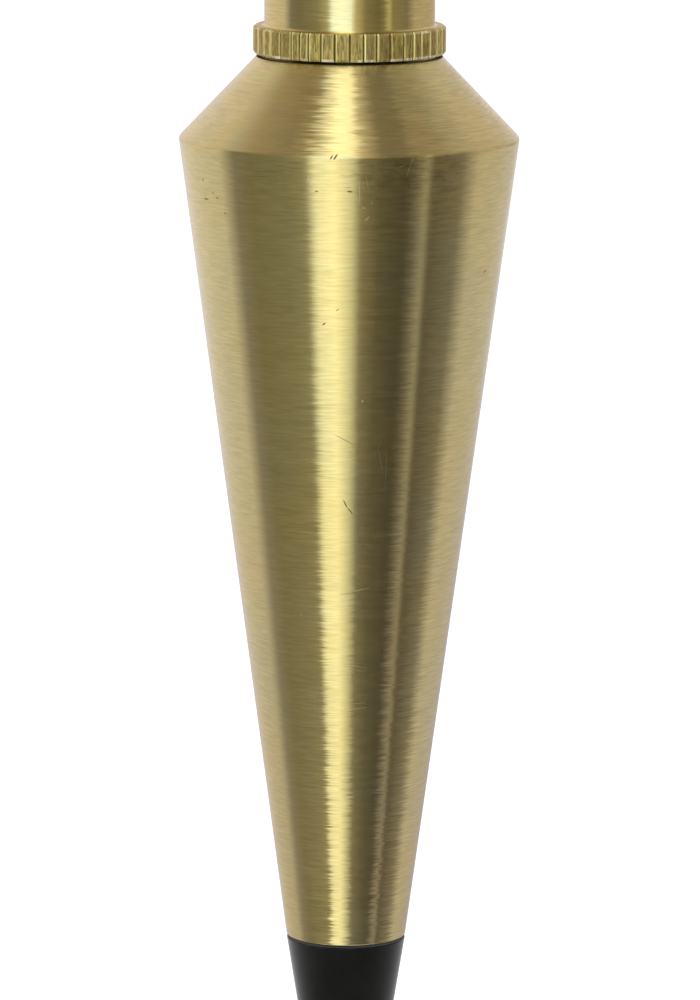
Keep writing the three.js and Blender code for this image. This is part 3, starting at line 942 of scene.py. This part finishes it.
def build_line(mat):
    path, along = line_path()
    side, across = path_frame(path)
    angle, along_grid = np.meshgrid(even_bearings(ROUND), along)
    crown, fleck = braid(angle, along_grid)
    radius = LINE_R - YARN_HEIGHT + YARN_HEIGHT * crown
    # heat-sealed ends: a small smooth bead
    from_top, from_low = along - along[0], along[-1] - along
    melt = np.maximum(ease(1 - from_top / 0.9), ease(1 - from_low / 0.9))[:, None]
    radius = radius * (1 - melt) + (LINE_R - 0.03) * melt
    from_end = np.minimum(from_top, from_low)[:, None]
    turn_in = (1 - np.clip(from_end / 0.35, 0, 1)) ** 2 * 0.55
    radius = radius * np.sqrt(np.clip(1 - turn_in, 0.05, 1))

    outward = (np.cos(angle)[:, :, None] * side[:, None, :]
               + np.sin(angle)[:, :, None] * across[:, None, :])
    verts = (path[:, None, :] + radius[:, :, None] * outward).reshape(-1, 3)
    top_centre = len(verts)
    verts = np.vstack([verts, path[0], path[-1]])
    rings = np.arange(len(path) - 1)[:, None] * ROUND
    j = np.arange(ROUND)
    k = (j + 1) % ROUND
    corners = [rings + j, rings + k, rings + ROUND + k, rings + ROUND + j]
    quads = np.stack(corners, axis=2).reshape(-1, 4)
    last = top_centre - ROUND
    tris = np.vstack([
        np.c_[np.full(ROUND, top_centre), k, j],
        np.c_[last + j, last + k, np.full(ROUND, top_centre + 1)]])
    line = make_object("braided_line", verts, quads, tris, [mat])
    melt = np.repeat(melt, ROUND, axis=1)
    for name, values in (("crown", crown), ("fleck", fleck.astype(float)), ("melt", melt)):
        add_attribute(line, name, np.r_[values.ravel(), values[0, 0], values[-1, 0]])
    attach(line, "line")
    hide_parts("plumb_line")


# ----------------------------------------------------------------------- floor
FLOOR_Z = -0.016
FLOOR_HALF = 6.0


def build_floor():
    s = FLOOR_HALF
    mesh = bpy.data.meshes.new("floor")
    corners = [(x, y, FLOOR_Z) for x, y in ((-s, -s), (s, -s), (s, s), (-s, s))]
    mesh.from_pydata(corners, [], [(0, 1, 2, 3)])
    floor = link_object("floor", mesh)
    g = new_nodes("floor_matte")
    mesh.materials.append(g.finish("ShaderNodeBsdfDiffuse", {"Color": (0.97, 0.97, 0.97, 1)}))
    floor.visible_glossy = False


# ----------------------------------------------------------------------- light
# A light tent: one long soft strip a little left of the lens, dark flags each side of
# it and a narrow slot of light on the right. A surface of revolution, seen from the
# lens, mirrors the tent by the turn and the tilt of its own face: "turn" is twice the
# face's bearing from the lens, in degrees, positive to +X, and "tilt" is how far the
# face leans up. The panels are laid out in those terms.
LENS_Y, LENS_Z = -0.9914, 0.1305    # unit vector towards the lens
PEAK = 4.0                          # panel colours are divided by this inside the ramps
# Turn, then the panel's colour in four bands of rising tilt: low, high, neck and dome
TENT = [
    (-170, (0.72, 0.66, 0.79), (0.92, 0.92, 1.06), (0.80, 0.69, 0.73), (0.82, 0.74, 0.82)),
    (-100, (0.41, 0.37, 0.45), (0.75, 0.75, 0.86), (0.66, 0.57, 0.60), (0.66, 0.60, 0.66)),
    (-86, (0.34, 0.30, 0.37), (0.18, 0.18, 0.21), (0.23, 0.20, 0.21), (0.52, 0.48, 0.52)),
    (-72, (0.29, 0.24, 0.22), (0.14, 0.16, 0.14), (0.20, 0.18, 0.14), (0.40, 0.33, 0.30)),
    (-44, (0.29, 0.24, 0.22), (0.16, 0.18, 0.15), (0.29, 0.26, 0.21), (0.29, 0.24, 0.21)),
    (-30, (0.29, 0.24, 0.22), (0.14, 0.16, 0.14), (0.55, 0.50, 0.40), (0.34, 0.29, 0.26)),
    (-23, (1.10, 1.10, 1.21), (1.00, 0.91, 0.59), (1.26, 1.40, 1.89), (0.76, 0.72, 0.72)),
    (-10, (1.00, 1.00, 1.10), (1.54, 1.40, 0.91), (1.35, 1.50, 2.03), (1.58, 1.50, 1.50)),
    (2, (0.20, 0.20, 0.22), (0.84, 0.76, 0.49), (1.17, 1.30, 1.76), (1.47, 1.40, 1.40)),
    (8, (0.08, 0.07, 0.11), (0.08, 0.08, 0.09), (0.67, 0.58, 0.41), (0.64, 0.55, 0.52)),
    (22, (0.07, 0.06, 0.09), (0.02, 0.02, 0.02), (0.29, 0.25, 0.18), (0.22, 0.19, 0.18)),
    (40, (0.03, 0.03, 0.05), (0.02, 0.02, 0.02), (0.20, 0.17, 0.12), (0.22, 0.19, 0.18)),
    (47, (0.20, 0.17, 0.28), (0.06, 0.06, 0.07), (0.26, 0.23, 0.16), (0.31, 0.27, 0.25)),
    (55, (0.26, 0.22, 0.36), (0.29, 0.31, 0.33), (0.63, 0.55, 0.39), (0.32, 0.28, 0.26)),
    (60, (0.10, 0.08, 0.13), (0.04, 0.04, 0.04), (0.31, 0.27, 0.19), (0.34, 0.29, 0.28)),
    (84, (0.28, 0.26, 0.32), (0.14, 0.14, 0.16), (0.23, 0.19, 0.17), (0.45, 0.41, 0.43)),
    (100, (0.54, 0.48, 0.61), (0.62, 0.62, 0.71), (0.49, 0.41, 0.37), (0.56, 0.50, 0.53)),
    (160, (0.42, 0.38, 0.48), (0.82, 0.82, 0.94), (0.47, 0.39, 0.35), (0.63, 0.57, 0.60)),
]
TABLE_WHITE = (1.25, 1.25, 1.25, 1)
BACKDROP = (1.0, 1.0, 1.0, 1)       # what the camera sees directly
FILL = (1.08, 1.08, 1.08, 1)        # what lights the matte surfaces


def build_world():
    world = bpy.data.worlds.new("studio")
    bpy.context.scene.world = world
    g = Nodes(world)
    direction = g.new("ShaderNodeTexCoord").outputs["Generated"]
    x, y, z = g.split(g.vector("NORMALIZE", direction))
    # halfway between the mirrored direction and the lens lies the face's normal
    face_y, face_z = g.add(y, LENS_Y), g.add(z, LENS_Z)
    turn = g.mul(g.math("ARCTAN2", x, g.mul(face_y, -1.0)), 360 / math.pi)
    flat = g.math("SQRT", g.add(g.mul(x, x), g.mul(face_y, face_y)))
    tilt = g.mul(g.math("ARCTAN2", face_z, flat), 180 / math.pi)
    turns, *bands = zip(*TENT)

    def panels(colours):
        fac = g.math("DIVIDE", g.add(turn, 180.0), 360.0, clamp=True)
        stops = [((t + 180) / 360, tuple(c / PEAK for c in colour))
                 for t, colour in zip(turns, colours)]
        strips = g.ramp(fac, stops)
        # behind the object, far below and far above, the panels meet in one level
        back = tuple((a + b) / 2 / PEAK for a, b in zip(colours[0], colours[-1])) + (1,)
        far = g.max(g.fade(tilt, start=-25.0, end=-50.0), g.fade(tilt, start=55.0, end=80.0))
        behind = g.fade(g.math("ABSOLUTE", turn), start=146.0, end=180.0)
        return g.scale(g.mix(g.max(behind, far), strips, back), PEAK)

    low, high, neck, dome = (panels(colours) for colours in bands)
    tent = g.mix(g.fade(tilt, start=-14.0, end=-6.5), low, high)
    tent = g.mix(g.fade(tilt, start=-4.6, end=0.6), tent, neck)
    tent = g.mix(g.fade(tilt, start=8.0, end=30.0), tent, dome)
    # the white table far below, which the chamfers and edges catch
    tent = g.mix(g.fade(z, start=-0.80, end=-0.93), tent, TABLE_WHITE)
    rays = g.new("ShaderNodeLightPath").outputs
    seen = g.mix(rays["Is Camera Ray"], tent, BACKDROP)
    seen = g.mix(rays["Is Diffuse Ray"], seen, FILL)
    g.finish("ShaderNodeBackground", {"Color": seen}, "ShaderNodeOutputWorld")


def build_lamp():
    """A soft overhead panel, kept out of the reflections."""
    light = bpy.data.lights.new("overhead", "AREA")
    light.shape = "DISK"
    light.size = 0.7
    light.energy = 5.0
    lamp = bpy.data.objects.new("overhead", light)
    lamp.location = (-0.35, -0.35, 1.3)
    aim = Vector((0, 0, 0.05)) - lamp.location
    lamp.rotation_euler = aim.to_track_quat("-Z", "Y").to_euler()
    lamp.visible_glossy = False
    bpy.context.scene.collection.objects.link(lamp)


# ---------------------------------------------------------------------- camera
CAMERA_DISTANCE = 0.72526           # m from the axis
CAMERA_RISE = 0.0839                # m above the shoulder
LENS_MM, SENSOR_MM = 248.5116, 36.0
# degrees
CAMERA_PITCH = 9.611                # downward
CAMERA_YAW = -0.0195
CAMERA_ROLL = 0.2466


def build_camera():
    data = bpy.data.cameras.new("camera")
    data.sensor_width = SENSOR_MM
    data.lens = LENS_MM
    data.clip_start = 0.05
    data.clip_end = 60.0
    camera = link_object("camera", data)
    camera.matrix_world = (
        Matrix.Translation((0, -CAMERA_DISTANCE, SHOULDER_Z * MM + CAMERA_RISE))
        @ Matrix.Rotation(math.radians(CAMERA_YAW), 4, "Z")
        @ Matrix.Rotation(math.radians(90 - CAMERA_PITCH), 4, "X")
        @ Matrix.Rotation(math.radians(CAMERA_ROLL), 4, "Z")
    )
    scene = bpy.context.scene
    scene.camera = camera
    scene.view_settings.view_transform = "Standard"
    scene.view_settings.look = "None"


# ----------------------------------------------------------------------- build
build_body(body_brass())
cap_materials = [cap_brass(), knurl_brass()]
build_tip(steel())
build_cap(cap_materials)
build_line(cord())
build_floor()
build_world()
build_lamp()
build_camera()
